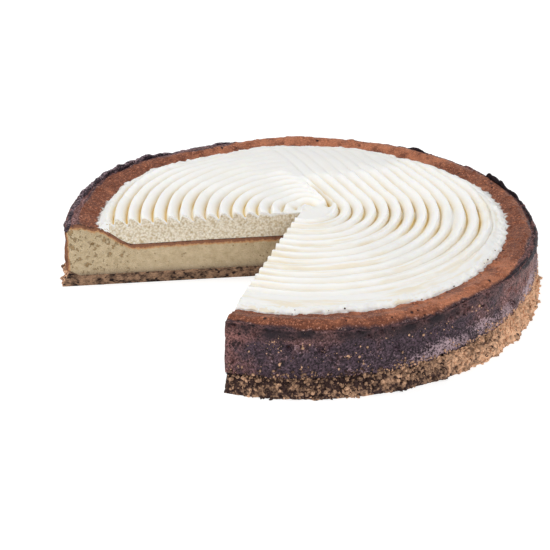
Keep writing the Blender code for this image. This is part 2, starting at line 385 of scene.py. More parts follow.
def cut_cream_material(colours):
    """Cut cream: small curdy grains, paler towards the crests that the knife has smoothed, and a few hollows painted
    dark brown as painted shade.
    """
    material, tree, shader, node, position = new_material("cut_cream", 0.6)
    grain = group_node(tree, "Grain", {"Position": position, "Size": 1.2 * MM, "Uneven": 0.9})
    shade = [0.56 * value * tint for value, tint in zip(colours.cut_cream, (1.0, 0.83, 0.57))]
    mixed = blend(node, stretch(node, grain["Height"], 0.30, 1.15), shade, colours.cut_cream)
    patches = node("TexNoise", {"Vector": position, "Scale": 260.0, "Detail": 3.0}).outputs[0]
    smooth = node("Math", {0: attribute(node, "crown"), 1: patches}, operation="ADD").outputs[0]
    crowned = blend(node, stretch(node, smooth, 0.80, 1.25), mixed, colours.cream)
    hollows = group_node(tree, "Pits", {"Position": position, "Size": 9.0 * MM, "Share": 0.18})["Mask"]
    # Painted shade: the hollows are painted dark brown.
    result = blend(node, hollows, crowned, (0.36, 0.20, 0.07))
    tree.links.new(result, shader.inputs["Base Color"])
    relief = node("Math", {0: hollows, 1: -2.0, 2: grain["Height"]}, operation="MULTIPLY_ADD").outputs[0]
    bump(tree, node, shader, relief, 0.6 * MM)
    soften(shader, 0.08, 1.5 * MM)
    return material


def skin_material(colours):
    """Browned top: red-brown skin with toasted patches and dark flecks, pinkish flecks painted as highlights, pits
    painted dark as shade, dark at its outer edge, smeared with cream.
    """
    material, tree, shader, node, position = new_material("browned_skin", 0.40, 0.22)
    dark = [0.34 * value for value in colours.skin]
    toasted = stretch(node, attribute(node, "toasted"), 0.0, 1.0, 0.34, 0.56)
    mottled = group_node(tree, "Mottle", {
        "Position": position, "Colour": solid_colour(colours.skin), "Patch": solid_colour(colours.toast),
        "Fleck": solid_colour(dark), "Size": 12.0 * MM, "Amount": toasted, "Flecks": 0.22})
    fine = node("TexNoise", {"Vector": position, "Scale": 800.0, "Detail": 4.0, "Roughness": 0.75}).outputs[0]
    speck = stretch(node, fine, 0.52, 0.66, 0.0, 0.8)
    speckled = blend(node, speck, mottled["Colour"], [1.7 * value for value in colours.toast])
    wide = node("TexNoise", {"Vector": position, "Scale": 130.0, "Detail": 5.0, "Roughness": 0.65}).outputs[0]
    rim = attribute(node, "rim")
    outer = node("Math", {0: wide, 1: 1.1, 2: rim}, operation="MULTIPLY_ADD").outputs[0]
    edged = blend(node, stretch(node, outer, 1.12, 1.55), speckled, [0.9 * value for value in colours.wall])
    # Painted highlights: pale pinkish flecks stand in for glints of light on the skin, a little more near the rim.
    pale = node("Math", {0: rim, 1: 0.10, 2: fine}, operation="MULTIPLY_ADD").outputs[0]
    glinted = blend(node, stretch(node, pale, 0.64, 0.76), edged, (0.66, 0.41, 0.37))
    pits = group_node(tree, "Pits", {"Position": position, "Size": 3.4 * MM, "Share": 0.22})["Mask"]
    # Painted shade: the pits are painted near-black.
    glinted = blend(node, pits, glinted, (0.050, 0.018, 0.016))
    ground = node("Math", {0: fine, 1: 0.6, 2: attribute(node, "smear")}, operation="MULTIPLY_ADD").outputs[0]
    smeared = blend(node, stretch(node, ground, 0.75, 1.05), glinted, [0.92 * value for value in colours.cream])
    tree.links.new(smeared, shader.inputs["Base Color"])
    relief = node("TexNoise", {"Vector": position, "Scale": 600.0, "Detail": 5.0, "Roughness": 0.75}).outputs[0]
    relief = node("Math", {0: pits, 1: -0.8, 2: relief}, operation="MULTIPLY_ADD").outputs[0]
    bump(tree, node, shader, relief, 1.3 * MM, 0.9)
    return material


def wall_material(colours):
    """Dark baked side: purple-brown grains of two shades, red-brown in places, a pale bloom, pits painted near-black as
    painted shade, and painted shade in a band just under the rim.
    """
    material, tree, shader, node, position = new_material("baked_wall", 0.5)
    fine = node("TexNoise", {"Vector": position, "Scale": 840.0, "Detail": 3.0, "Roughness": 0.8}).outputs[0]
    wide = node("TexNoise", {"Vector": position, "Scale": 70.0, "Detail": 5.0, "Roughness": 0.65}).outputs[0]
    speckle = stretch(node, fine, 0.41, 0.60)
    grained = blend(node, speckle, [0.28 * value for value in colours.wall], [2.2 * value for value in colours.wall])
    rust = blend(node, speckle, (0.058, 0.020, 0.018), (0.46, 0.205, 0.180))
    redness = node("Math", {0: attribute(node, "red"), 1: 0.35, 2: wide}, operation="MULTIPLY_ADD").outputs[0]
    tinted = blend(node, stretch(node, redness, 0.56, 0.86), grained, rust)
    bloomed = node("Math", {0: fine, 1: 3.0}, operation="MULTIPLY").outputs[0]
    bloomed = node("Math", {0: attribute(node, "bloom"), 1: 0.36, 2: bloomed}, operation="MULTIPLY_ADD").outputs[0]
    bloomed = node("Math", {0: wide, 1: 2.0, 2: bloomed}, operation="MULTIPLY_ADD").outputs[0]
    coloured = blend(node, stretch(node, bloomed, 2.88, 3.42), tinted, colours.bloom)
    pits = group_node(tree, "Pits", {"Position": position, "Size": 3.4 * MM, "Share": 0.42})["Mask"]
    small = group_node(tree, "Pits", {"Position": position, "Size": 1.6 * MM, "Share": 0.40})["Mask"]
    pits = node("Math", {0: pits, 1: stretch(node, attribute(node, "red"), 0.3, 0.8)}, operation="MULTIPLY").outputs[0]
    both = node("Math", {0: pits, 1: small}, operation="MAXIMUM").outputs[0]
    # Painted shade: the side is darkened in a band just under the rim.
    shaded = blend(node, attribute(node, "dusk"), coloured, [0.4 * value for value in colours.wall])
    # Painted shade: the pits are painted near-black.
    pitted = blend(node, both, shaded, (0.010, 0.005, 0.006))
    tree.links.new(pitted, shader.inputs["Base Color"])
    relief = node("Math", {0: both, 1: -0.8, 2: fine}, operation="MULTIPLY_ADD").outputs[0]
    bump(tree, node, shader, relief, 1.6 * MM)
    return material


def curd_material(colours):
    """Cut face of the filling: pale porous curd with its cracks and pores painted dark as painted shade, under a brown
    skin, and darker just above the crumb base.

    crust falls evenly from 1 at the skin or the dark side to 0 at 6.5 mm below it.
    """
    material, tree, shader, node, position = new_material("cut_curd", 0.5)
    wobble = node("TexNoise", {"Vector": position, "Scale": 380.0, "Detail": 4.0, "Roughness": 0.7}).outputs[0]
    shifted = node("Math", {0: wobble, 1: 0.7, 2: attribute(node, "crust")}, operation="MULTIPLY_ADD").outputs[0]
    patches = node("TexNoise", {"Vector": position, "Scale": 260.0, "Detail": 6.0, "Roughness": 0.75}).outputs[0]
    dull = [0.74 * value * tint for value, tint in zip(colours.curd, (1.0, 0.96, 0.88))]
    pale = blend(node, stretch(node, patches, 0.35, 0.65), dull, colours.curd)
    bent = node("TexNoise", {"Vector": position, "Scale": 330.0, "Detail": 5.0, "Roughness": 0.6}).outputs[0]
    open_share = node("Math", {0: attribute(node, "porous"), 1: 0.12, 2: bent}, operation="MULTIPLY_ADD").outputs[0]
    cracks = stretch(node, open_share, 0.68, 0.72)
    pores = group_node(tree, "Pits", {"Position": position, "Size": 2.0 * MM, "Share": 0.16})["Mask"]
    gaps = node("Math", {0: cracks, 1: pores}, operation="MAXIMUM").outputs[0]
    # Painted shade: the cracks and pores are painted dark brown.
    porous = blend(node, gaps, pale, (0.36, 0.24, 0.12))
    # The curd is made darker just above the crumb base.
    damp = blend(node, attribute(node, "damp"), porous, (0.17, 0.115, 0.075))
    amber = blend(node, stretch(node, shifted, 0.76, 0.92), damp, (0.52, 0.27, 0.12))
    brown = blend(node, stretch(node, shifted, 0.94, 1.06), amber, (0.24, 0.100, 0.052))
    result = blend(node, stretch(node, shifted, 1.24, 1.36), brown, (0.085, 0.034, 0.024))
    tree.links.new(result, shader.inputs["Base Color"])
    grain = group_node(tree, "Grain", {"Position": position, "Size": 0.9 * MM, "Uneven": 1.0})
    relief = node("Math", {0: gaps, 1: -1.6, 2: grain["Height"]}, operation="MULTIPLY_ADD").outputs[0]
    bump(tree, node, shader, relief, 0.5 * MM, 0.8)
    soften(shader, 0.08, 1.5 * MM)
    return material


def crumb_material(colours, name, size, shade=1.0):
    """Biscuit crumb: grains of several browns, from dark at tone 0 to golden at tone 1."""
    material, tree, shader, node, position = new_material(name, 0.85, 0.15)
    grain = group_node(tree, "Grain", {"Position": position, "Size": size, "Uneven": 1.2})
    fine = node("TexNoise", {"Vector": position, "Scale": 900.0, "Detail": 3.0, "Roughness": 0.7}).outputs[0]
    summed = node("Math", {0: grain["Value"], 1: 0.35, 2: attribute(node, "tone")}, operation="MULTIPLY_ADD").outputs[0]
    summed = node("Math", {0: fine, 1: 0.5, 2: summed}, operation="MULTIPLY_ADD").outputs[0]
    pair = [[shade * value for value in colour] for colour in (colours.dark_crumb, colours.crumb)]
    tree.links.new(blend(node, stretch(node, summed, 0.40, 1.30), *pair), shader.inputs["Base Color"])
    bump(tree, node, shader, grain["Height"], 1.0 * MM)
    return material


# ---------------------------------------------------------------- layers


def cut_patch(top, bottom, inner, outer):
    """Points that fill the four-sided outline of a cut face.

    They are the sum of the blends between top and bottom and between the axis and the outer side, less the
    blend of the four corners.
    """
    across = (np.hypot(top[:, 0], top[:, 1]) / np.hypot(top[-1, 0], top[-1, 1]))[:, None, None]
    down = np.linspace(0.0, 1.0, len(inner))[None, :, None]
    between = (1.0 - down) * top[:, None] + down * bottom[:, None]
    sideways = (1.0 - across) * inner[None] + across * outer[None]
    corners = (1.0 - across) * ((1.0 - down) * top[0] + down * bottom[0]) \
        + across * ((1.0 - down) * top[-1] + down * bottom[-1])
    return between + sideways - corners


def strip(near, far):
    """Quads between two rows of vertex numbers, near and far from the profile's start."""
    return np.stack([near[:-1], far[:-1], far[1:], near[1:]], axis=-1)


def joining_faces(near, far, stride, near_is_fine):
    """Faces between a fine row and a coarse one: each coarse step meets all fine steps beside it."""
    faces = []
    for start in range(0, len(near) - 1, stride):
        ends = [start, start + stride]
        inner = list(range(start, start + stride + 1)) if near_is_fine else ends
        outer = ends if near_is_fine else list(range(start, start + stride + 1))
        faces.append([int(far[i]) for i in outer] + [int(near[i]) for i in reversed(inner)])
    return faces


def layer_mesh(name, places, coarse, stride, radial, axis, cut_depth):
    """A closed layer from its swept rows and two cut faces.

    places holds a point for each azimuth and each row, from beside the axis on top, out, down the side and
    back to beside the axis below; radial counts the rows on top.  A coarse row keeps one azimuth in stride.
    axis runs from the top middle to the bottom middle.  cut_depth(points) sinks the cut faces.  Swept faces
    take the first material, and cut faces the second.
    """
    columns, rows = places.shape[:2]
    kept = np.ones((columns, rows), bool)
    kept[:, coarse] = False
    kept[::stride, coarse] = True
    numbers = np.full((columns, rows), -1)
    numbers[kept] = np.arange(kept.sum())
    vertices = [places[kept], axis]
    poles = kept.sum() + np.arange(len(axis))
    faces = []
    for row in range(rows - 1):
        near, far = numbers[:, row], numbers[:, row + 1]
        if coarse[row] == coarse[row + 1]:
            every = stride if coarse[row] else 1
            faces += strip(near[::every], far[::every]).tolist()
        else:
            faces += joining_faces(near, far, stride, not coarse[row])
    for row, pole in ((0, poles[0]), (rows - 1, poles[-1])):
        ring = numbers[:, row][kept[:, row]]
        pairs = zip(ring[:-1], ring[1:]) if row == 0 else zip(ring[1:], ring[:-1])
        faces += [[int(pole), int(one), int(other)] for one, other in pairs]
    swept = len(faces)

    for column, turn in ((0, FIRST_CUT), (columns - 1, LAST_CUT)):
        outwards = round_axis(turn + 90.0, 1.0, 0.0) * (-1.0 if column == 0 else 1.0)
        top = np.vstack([axis[:1], places[column, :radial]])
        bottom = np.vstack([axis[-1:], places[column, :-radial - 1:-1]])
        outer = places[column, radial - 1:rows - radial + 1]
        patch = cut_patch(top, bottom, axis, outer)
        patch = patch - outwards * cut_depth(patch, column == 0)[..., None]
        grid = np.empty(patch.shape[:2], int)
        grid[0] = poles
        grid[1:, 0] = numbers[column, :radial]
        grid[1:, -1] = numbers[column, :-radial - 1:-1]
        grid[-1] = numbers[column, radial - 1:rows - radial + 1]
        start = sum(len(part) for part in vertices)
        inside = patch[1:-1, 1:-1].reshape(-1, 3)
        grid[1:-1, 1:-1] = start + np.arange(len(inside)).reshape(patch.shape[0] - 2, -1)
        vertices.append(inside)
        quads = np.stack([grid[:-1, :-1], grid[1:, :-1], grid[1:, 1:], grid[:-1, 1:]], axis=-1).reshape(-1, 4)
        faces += (quads if column == 0 else quads[:, ::-1]).tolist()

    mesh = bpy.data.meshes.new(name)
    mesh.from_pydata(np.vstack(vertices), [], faces)
    kind = np.zeros(len(faces), np.int32)
    kind[swept:] = 1
    mesh.polygons.foreach_set("material_index", kind)
    return mesh


def tube_mesh(name, places):
    """A closed tube from rings of points, one ring for each azimuth, with a fan at each end."""
    columns, rows = places.shape[:2]
    numbers = np.arange(columns * rows).reshape(columns, rows)
    ahead = np.roll(numbers, -1, axis=1)
    quads = np.stack([numbers[:-1], numbers[1:], ahead[1:], ahead[:-1]], axis=-1).reshape(-1, 4)
    ends = [columns * rows, columns * rows + 1]
    fans = [[ends[0], int(numbers[0, i]), int(ahead[0, i])] for i in range(rows)]
    fans += [[ends[1], int(ahead[-1, i]), int(numbers[-1, i])] for i in range(rows)]
    mesh = bpy.data.meshes.new(name)
    vertices = np.vstack([places.reshape(-1, 3), places[0].mean(0), places[-1].mean(0)])
    mesh.from_pydata(vertices, [], quads.tolist() + fans)
    return mesh


def points_of(mesh):
    places = np.empty(3 * len(mesh.vertices), np.float32)
    mesh.vertices.foreach_get("co", places)
    return places.reshape(-1, 3).astype(float)


def set_attribute(mesh, name, values):
    made = mesh.attributes.new(name, "FLOAT", "POINT")
    made.data.foreach_set("value", np.asarray(values, np.float32))


def add_piece(mesh, materials, slot, *nodes, sharp=50.0):
    """The mesh as a finished piece that rides on the cake, and stands for the named solids."""
    for material in materials:
        mesh.materials.append(material)
    mesh.shade_smooth()
    mesh.set_sharp_from_angle(angle=math.radians(sharp))
    piece = bpy.data.objects.new(mesh.name, mesh)
    bpy.context.scene.collection.objects.link(piece)
    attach(piece, BODY)
    if nodes:
        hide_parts(*nodes)
    return piece


# ---------------------------------------------------------------- filling

SHOULDER_RADIUS = 137.6 * MM        # where the browned top turns into the dark side
SKIN_MIDDLE = 26.0 * MM             # heights of the skin in the middle and in the trough
SKIN_TROUGH = 25.5 * MM

# Azimuths in degrees, and heights in millimetres there.
RIM_CRESTS = ((-107, -70, -30, 10, 60, 100, 113, 127, 145, 187),
              (40.4, 39.0, 40.3, 38.6, 37.3, 37.1, 35.7, 36.3, 38.6, 39.8))
SHOULDERS = ((-107, -90, -70, -46, -25, 5, 45, 122, 140, 157, 187),
             (39.4, 37.2, 35.6, 38.7, 38.9, 35.3, 34.8, 33.4, 35.9, 38.2, 38.5))
CRUMB_TOPS = ((-107, -70, -40, -15, 30, 187), (10.0, 10.6, 14.0, 14.5, 12.0, 10.5))


def skin_height(radius, azimuth):
    """Height of the browned skin: level in the middle, a trough, then the climb to the rim's crest."""
    crest = eased(azimuth, *RIM_CRESTS) * MM
    inner = SKIN_MIDDLE + (SKIN_TROUGH - SKIN_MIDDLE) * smooth_step(radius, 49.0 * MM, 98.0 * MM)
    climb = (crest - 2.4 * MM - SKIN_TROUGH) * smooth_step(radius, 98.0 * MM, 121.0 * MM)
    return inner + climb + 2.4 * MM * smooth_step(radius, 121.0 * MM, 130.0 * MM)


def browned_top(radius, azimuth):
    """Height of the filling's whole top: the skin, and past its crest the fall to the shoulder."""
    crest, shoulder = eased(azimuth, *RIM_CRESTS) * MM, eased(azimuth, *SHOULDERS) * MM
    fall = eased(radius / MM, (130.0, 132.2, 135.2, 137.6), (0.0, 0.25, 0.95, 1.0))
    spot = round_axis(azimuth, radius, 0.0)
    shown = smooth_step(radius, 112.0 * MM, 122.0 * MM)
    relief = 0.55 * noise(spot, 16.0 * MM, 21) + 0.35 * rough(spot, 5.5 * MM, 4, 22)
    blisters = 0.8 * smooth_step(noise(spot, 3.4 * MM, 27), 0.35, 0.8)
    crack = np.exp(-((radius - 135.4 * MM - 0.5 * MM * noise(spot, 9.0 * MM, 28)) / (0.5 * MM)) ** 2)
    torn = smooth_step(noise(spot, 24.0 * MM, 29), -0.3, 0.3)
    sunk = 1.5 * crack * np.maximum(torn, smooth_step(azimuth, 100.0, 112.0))
    return skin_height(radius, azimuth) + fall * (shoulder - crest) + shown * (relief + blisters) * MM - sunk * MM


def wall_radius(azimuth, height, shoulder, size):
    """Radius of the baked side at each height: drawn in under the lip, then a belly."""
    share = (height - size.base_thickness) / (shoulder - size.base_thickness)
    shape = eased(share, (0.0, 0.12, 0.25, 0.38, 0.54, 0.72, 0.88, 1.0), (1.4, 0.9, 0.6, 0.3, 1.0, 2.0, 1.7, 2.4))
    spot = round_axis(azimuth, size.wall_radius, height)
    swell = 0.6 * noise(spot * (1.0, 1.0, 0.6), 24.0 * MM, 3) + 0.6 * rough(spot, 8.0 * MM, 3, 5)
    return size.wall_radius - (shape + 0.5 - 0.8 * swell) * MM


def filling_rows(size, azimuth):
    """Radius and height of each row of the filling, and how many rows lie on top and on the side."""
    azimuth = azimuth[:, None]
    bottom = size.base_thickness + 0.3 * MM
    shoulder = eased(azimuth, *SHOULDERS) * MM
    crumbs = eased(azimuth, *CRUMB_TOPS) * MM + 0.6 * MM
    top_radius = np.concatenate([np.arange(1.0, 108.0, 1.0), np.arange(108.0, 130.0, 0.62),
                                 np.linspace(130.0, SHOULDER_RADIUS / MM, 19)])[None] * MM
    top_height = browned_top(top_radius, azimuth)
    share = np.linspace(1.0, 0.0, 43)[1:][None]
    side_height = crumbs + share * (shoulder - crumbs)
    side_radius = wall_radius(azimuth, side_height, shoulder, size)
    along = np.radians(azimuth) * size.wall_radius + 0.0 * share
    upper = smooth_step(share, 0.2, 0.6)
    pits = holes(along, side_height, 5.0 * MM, 0.10, 31) + upper * holes(along, side_height, 2.6 * MM, 0.25, 35)
    side_radius = side_radius - 1.1 * pits
    slope = np.linspace(0.0, 1.0, 6)[1:-1][None]
    under_radius = side_radius[:, -1:] + slope * (130.7 * MM - side_radius[:, -1:])
    under_height = crumbs + slope * (bottom - crumbs)
    foot_radius = top_radius[:, ::-1] * (130.7 * MM / SHOULDER_RADIUS)
    full = np.ones_like(azimuth)
    radius = np.hstack([full * top_radius, side_radius, under_radius, full * foot_radius])
    height = np.hstack([top_height, side_height, under_height, full * bottom + 0.0 * foot_radius])
    return radius, height, top_radius.shape[1], side_radius.shape[1] + slope.shape[1]


class CHEESECAKE_OT_filling(bpy.types.Operator):
    """Bake the filling: browned rim and skin, dark pitted side and pale cut faces"""

    bl_idname = "cheesecake.filling"
    bl_label = "Baked filling"

    def execute(self, context):
        size, colours = context.scene.cake_sizes, context.scene.cake_colours
        stride = 16
        azimuth = np.linspace(FIRST_CUT, LAST_CUT, 44 * stride + 1)
        radius, height, radial, side = filling_rows(size, azimuth)
        coarse = np.arange(radius.shape[1])
        hidden = (radius[0] < 110.0 * MM) | (coarse > radial + side + 1)
        places = round_axis(azimuth[:, None], radius, height)
        axis = np.zeros((side + 2, 3))
        axis[:, 2] = np.linspace(SKIN_MIDDLE, height[0, -1], side + 2)

        def cut_depth(points, first):
            distance = polar(points)[0]
            up = points[..., 2]
            fade = smooth_step(distance, 2.0 * MM, 8.0 * MM)
            near_rim = smooth_step(distance, 92.0 * MM, 116.0 * MM)
            large = holes(distance, 1.8 * up, 5.0 * MM, 0.16 * near_rim + 0.02, 51)
            grain = 0.18 * MM * rough(points, 2.2 * MM, 2, 61)
            return 0.8 * fade * large + grain

        mesh = layer_mesh("baked_filling", places, hidden, stride, radial, axis, cut_depth)
        points = points_of(mesh)
        distance, turn = polar(points)
        below = np.maximum(skin_height(np.minimum(distance, 130.0 * MM), turn) - points[:, 2], 0.0)
        inside = np.maximum(size.wall_radius - 1.9 * MM - distance, 0.0)
        crust = 1.0 - np.minimum(below, 1.5 * inside + 0.8 * MM) / (6.5 * MM)
        set_attribute(mesh, "crust", np.clip(crust, 0.0, 1.0))
        set_attribute(mesh, "porous", smooth_step(distance, 80.0 * MM, 120.0 * MM))
        # Darker just above the crumb base, fading over a few millimetres.
        set_attribute(mesh, "damp", np.exp(-np.maximum(points[:, 2] - size.base_thickness, 0.0) / (2.2 * MM)))
        reach = (1.2 + 3.2 * smooth_step(turn, -12.0, 4.0) * (1.0 - smooth_step(turn, 16.0, 24.0))
                 + 2.8 * smooth_step(turn, 150.0, 162.0)) * MM
        streak = 1.0 + 0.9 * noise(round_axis(turn, size.cream_radius, 0.0), 1.8 * MM, 67)
        beyond = np.maximum(distance - cream_edge(turn, size), 0.0)
        set_attribute(mesh, "smear", np.clip(1.0 - beyond / (reach * np.maximum(streak, 0.15)), 0.0, 1.0))
        height = points[:, 2] - eased(turn, *CRUMB_TOPS) * MM
        band = smooth_step(height, 0.0, 3.0 * MM) * (1.0 - smooth_step(height, 7.0 * MM, 14.0 * MM))
        bloomed = smooth_step(turn, -88.0, -62.0) * band
        lilac = smooth_step(turn, -72.0, -55.0) * (1.0 - smooth_step(turn, -20.0, 0.0))
        bloomed = bloomed * (1.05 + 0.60 * lilac - 0.40 * smooth_step(turn, 20.0, 60.0))
        set_attribute(mesh, "bloom", bloomed + 0.40 * smooth_step(turn, -40.0, -10.0))
        high = smooth_step(points[:, 2], 27.0 * MM, 34.0 * MM)
        left = 1.0 - smooth_step(turn, -106.0, -96.0)
        right = smooth_step(turn, -60.0, -25.0)
        # Painted shade under the rim: a band of the side just below the shoulder is darkened, less on the right, with
        # uneven strength.
        under = eased(turn, *SHOULDERS) * MM - points[:, 2]
        dusk = smooth_step(under, -1.0 * MM, 0.5 * MM) * (1.0 - smooth_step(under, 2.5 * MM, 8.0 * MM))
        dusk = dusk * (1.0 - 0.6 * smooth_step(turn, -62.0, -40.0))
        set_attribute(mesh, "dusk", dusk * (0.72 + 0.45 * noise(points, 6.0 * MM, 62)))
        set_attribute(mesh, "red", np.maximum(0.6 * high + 0.7 * left, 1.0 * right))
        outwards = 1.2 * MM * noise(round_axis(turn, distance, 0.0), 11.0 * MM, 63) + lip_band(turn)
        set_attribute(mesh, "rim", smooth_step(distance + outwards, 131.5 * MM, 136.0 * MM))
        toasted = smooth_step(turn, -100.0, -45.0) * (1.0 - 0.8 * smooth_step(turn, 100.0, 150.0))
        darker = smooth_step(turn, -36.0, -20.0) * (1.0 - smooth_step(turn, 28.0, 50.0))
        set_attribute(mesh, "toasted", toasted * (1.0 - 0.65 * darker))
        materials = [skin_material(colours), curd_material(colours), wall_material(colours)]
        kind = np.empty(len(mesh.polygons), np.int32)
        mesh.polygons.foreach_get("material_index", kind)
        middle = np.empty(3 * len(mesh.polygons), np.float32)
        mesh.polygons.foreach_get("center", middle)
        middle = middle.reshape(-1, 3).astype(float)
        across, round_it = polar(middle)
        line = 135.4 * MM + 0.5 * MM * noise(round_axis(round_it, across, 0.0), 6.0 * MM, 65)
        line = line - lip_band(round_it)
        kind[(kind == 0) & (across > line)] = 2
        mesh.polygons.foreach_set("material_index", kind)
        add_piece(mesh, materials, "baked_filling", "cheese_filling")
        return {"FINISHED"}


# ---------------------------------------------------------------- torn lip

# Azimuth of each flap's middle, half its width in degrees, and its height in millimetres.
LIP_FLAPS = ((180.0, 14.0, 1.3), (158.0, 18.0, 2.9), (139.0, 15.0, 3.6), (118.0, 13.0, 1.8), (56.0, 6.0, 2.6),
             (24.0, 6.0, 4.2), (12.0, 14.0, 2.3), (-18.0, 24.0, 0.9))


def lip_share(azimuth):
    """1 along the left, where the torn lip is broad, and 0 elsewhere."""
    return smooth_step(azimuth, 108.0, 113.0)


def lip_band(azimuth):
    """How much farther in the dark band of the torn lip reaches over the rim: most at the back."""
    behind = smooth_step(azimuth, 106.0, 110.0) * (1.0 - smooth_step(azimuth, 130.0, 142.0))
    beside_cut = smooth_step(azimuth, 158.0, 176.0)
    right = smooth_step(azimuth, -45.0, -20.0) * (1.0 - smooth_step(azimuth, 28.0, 40.0))
    return (2.9 * lip_share(azimuth) + 3.0 * behind + 2.4 * beside_cut + 1.3 * right) * MM


def lip_rise(azimuth):
    """Height of the torn lip above the shoulder: the highest flap that reaches this azimuth."""
    heights = [height * (1.0 - smooth_step(np.abs(azimuth - middle), 0.5 * reach, reach))
               for middle, reach, height in LIP_FLAPS]
    return np.max(heights, axis=0) * MM


class CHEESECAKE_OT_lip(bpy.types.Operator):
    """Tear the dark lip that stands along the rim: a thin ragged strip"""

    bl_idname = "cheesecake.lip"
    bl_label = "Torn lip"

    def execute(self, context):
        size, colours = context.scene.cake_sizes, context.scene.cake_colours
        azimuth = np.linspace(FIRST_CUT, LAST_CUT, 1401)[:, None]
        flat = round_axis(azimuth, SHOULDER_RADIUS, 0.0)
        shoulder = eased(azimuth, *SHOULDERS) * MM
        ragged = rough(flat, 5.0 * MM, 4, 121)
        rise = lip_rise(azimuth)
        uneven = rough(flat, 9.0 * MM, 3, 129)
        top = shoulder + rise * (1.0 + 0.40 * uneven) + np.minimum(rise, 0.6 * MM) * ragged - 0.4 * MM
        top = top - 1.0 * MM * (1.0 - smooth_step(rise, 0.1 * MM, 0.7 * MM))
        turn = np.linspace(0.0, 1.0, 19)[None]
        angle = 2.0 * np.pi * turn[:, :-1]
        low = shoulder - 3.4 * MM
        middle_height = 0.5 * (top + low)
        half_height = 0.5 * (top - low)
        beside_cut = smooth_step(azimuth, 158.0, 176.0)
        broad = lip_share(azimuth) * (1.0 + 0.9 * beside_cut) * MM
        thick = (0.85 * MM + 0.9 * broad) * (1.0 + 0.35 * noise(flat, 7.0 * MM, 125))
        middle_radius = SHOULDER_RADIUS - 0.9 * MM - 0.8 * broad + 0.5 * MM * noise(flat, 18.0 * MM, 126)
        middle_radius = middle_radius - 2.2 * MM * (1.0 - smooth_step(rise, 0.1 * MM, 0.7 * MM))
        height = middle_height + half_height * np.sin(angle)
        lean = 0.25 * (height - shoulder)
        radius = middle_radius + thick * np.sign(np.cos(angle)) * np.abs(np.cos(angle)) ** 0.6 - lean
        places = round_axis(azimuth, radius, height)
        crinkle = (0.35 * MM + 0.3 * broad) * rough(places, 2.6 * MM, 3, 127)
        places = round_axis(azimuth, radius + crinkle, height)
        mesh = tube_mesh("torn_lip", places)
        crest = np.repeat(places[..., 2].max(axis=1), places.shape[1])
        near_top = np.append(np.exp(-(crest - places[..., 2].ravel()) / (1.2 * MM)), (0.0, 0.0))
        shown = np.append(np.repeat(lip_share(azimuth), places.shape[1]), (0.0, 1.0))
        pale = shown * (1.0 - 0.6 * np.append(np.repeat(beside_cut, places.shape[1]), (0.0, 1.0)))
        set_attribute(mesh, "bloom", pale * (0.60 + 0.9 * near_top))
        # Painted shade under the rim: the lip is darkened except where it is broad, at the left.
        set_attribute(mesh, "dusk", 0.75 * (1.0 - shown))
        add_piece(mesh, [wall_material(colours)], "baked_filling")
        return {"FINISHED"}


# ---------------------------------------------------------------- base

CRUMB_SIZE = 1.5 * MM               # width of the biggest grains in the foot


class CHEESECAKE_OT_base(bpy.types.Operator):
    """Press the crumb base: a flat disc with a ragged, rounded foot"""

    bl_idname = "cheesecake.base"
    bl_label = "Crumb base"

    def execute(self, context):
        size, colours = context.scene.cake_sizes, context.scene.cake_colours
        stride = 16
        azimuth = np.linspace(FIRST_CUT, LAST_CUT, 90 * stride + 1)[:, None]
        crumbs = eased(azimuth, *CRUMB_TOPS) * MM
        top_radius = np.concatenate([np.arange(1.0, 131.5, 1.0), np.linspace(131.0, 138.4, 6)[1:]])[None] * MM
        climb = np.clip((top_radius - 131.0 * MM) / (7.4 * MM), 0.0, 1.0)
        top_height = size.base_thickness + climb * (crumbs - size.base_thickness)
        share = np.linspace(0.0, 1.0, 42)[1:-1][None]
        side_radius, side_height = foot_shape(azimuth, share, crumbs)
        foot_radius = top_radius[:, ::-1] * (141.2 * MM / top_radius[0, -1])
        full = np.ones_like(azimuth)
        radius = np.hstack([full * top_radius, side_radius, full * foot_radius])
        height = np.hstack([top_height, side_height, full * 0.0 * foot_radius])
        radial, side = top_radius.shape[1], share.shape[1]
        hidden = (radius[0] < 134.0 * MM) | (np.arange(radius.shape[1]) > radial + side + 1)
        places = round_axis(azimuth, radius, height)
        axis = np.zeros((side + 2, 3))
        axis[:, 2] = np.linspace(size.base_thickness, 0.0, side + 2)

        def cut_depth(points, first):
            lump, _ = grains(points, 1.9 * MM, 85)
            return 0.5 * MM * (1.0 - lump) + 0.25 * MM * rough(points, 1.8 * MM, 2, 81)

        mesh = layer_mesh("crumb_base_looks", places, hidden, stride, radial, axis, cut_depth)
        points = points_of(mesh)
        lump, value = grains(points, CRUMB_SIZE, 71)
        _, turn = polar(points)
        right = smooth_step(turn, -62.0, -38.0)
        # Painted shade: the crumbs are darkened in the gaps between lumps, more on the right.
        tone = crumb_tone(points) + 0.6 * (value - 0.5) - (1.0 + 0.5 * right) * smooth_step(0.82 - lump, 0.0, 0.5)
        tone = tone + (0.32 + 0.22 * right) * noise(points, 3.6 * MM, 89)
        near_top = smooth_step(points[:, 2], 5.5 * MM, 9.5 * MM)
        tone = tone - 0.42 * near_top * (1.0 - smooth_step(turn, -85.0, -55.0))
        set_attribute(mesh, "tone", tone)
        crumb = crumb_material(colours, "biscuit_crumb", 0.9 * MM)
        cut_crumb = crumb_material(colours, "cut_crumb", 1.1 * MM, 0.36)
        add_piece(mesh, [crumb, cut_crumb], "biscuit_crumb", "crumb_base", sharp=35.0)
        return {"FINISHED"}


def crumb_tone(points):
    """Darkness from 0 to 1 of the crumbs: dark in front on the left, and golden towards the right."""
    _, turn = polar(points)
    golden = 0.38 * smooth_step(turn, -78.0, -42.0) + 0.30 * smooth_step(turn, -54.0, -30.0)
    golden = golden - 0.22 * smooth_step(turn, 40.0, 90.0)
    return np.clip(0.15 + golden + 0.24 * noise(points, 10.0 * MM, 88), 0.0, 1.0)


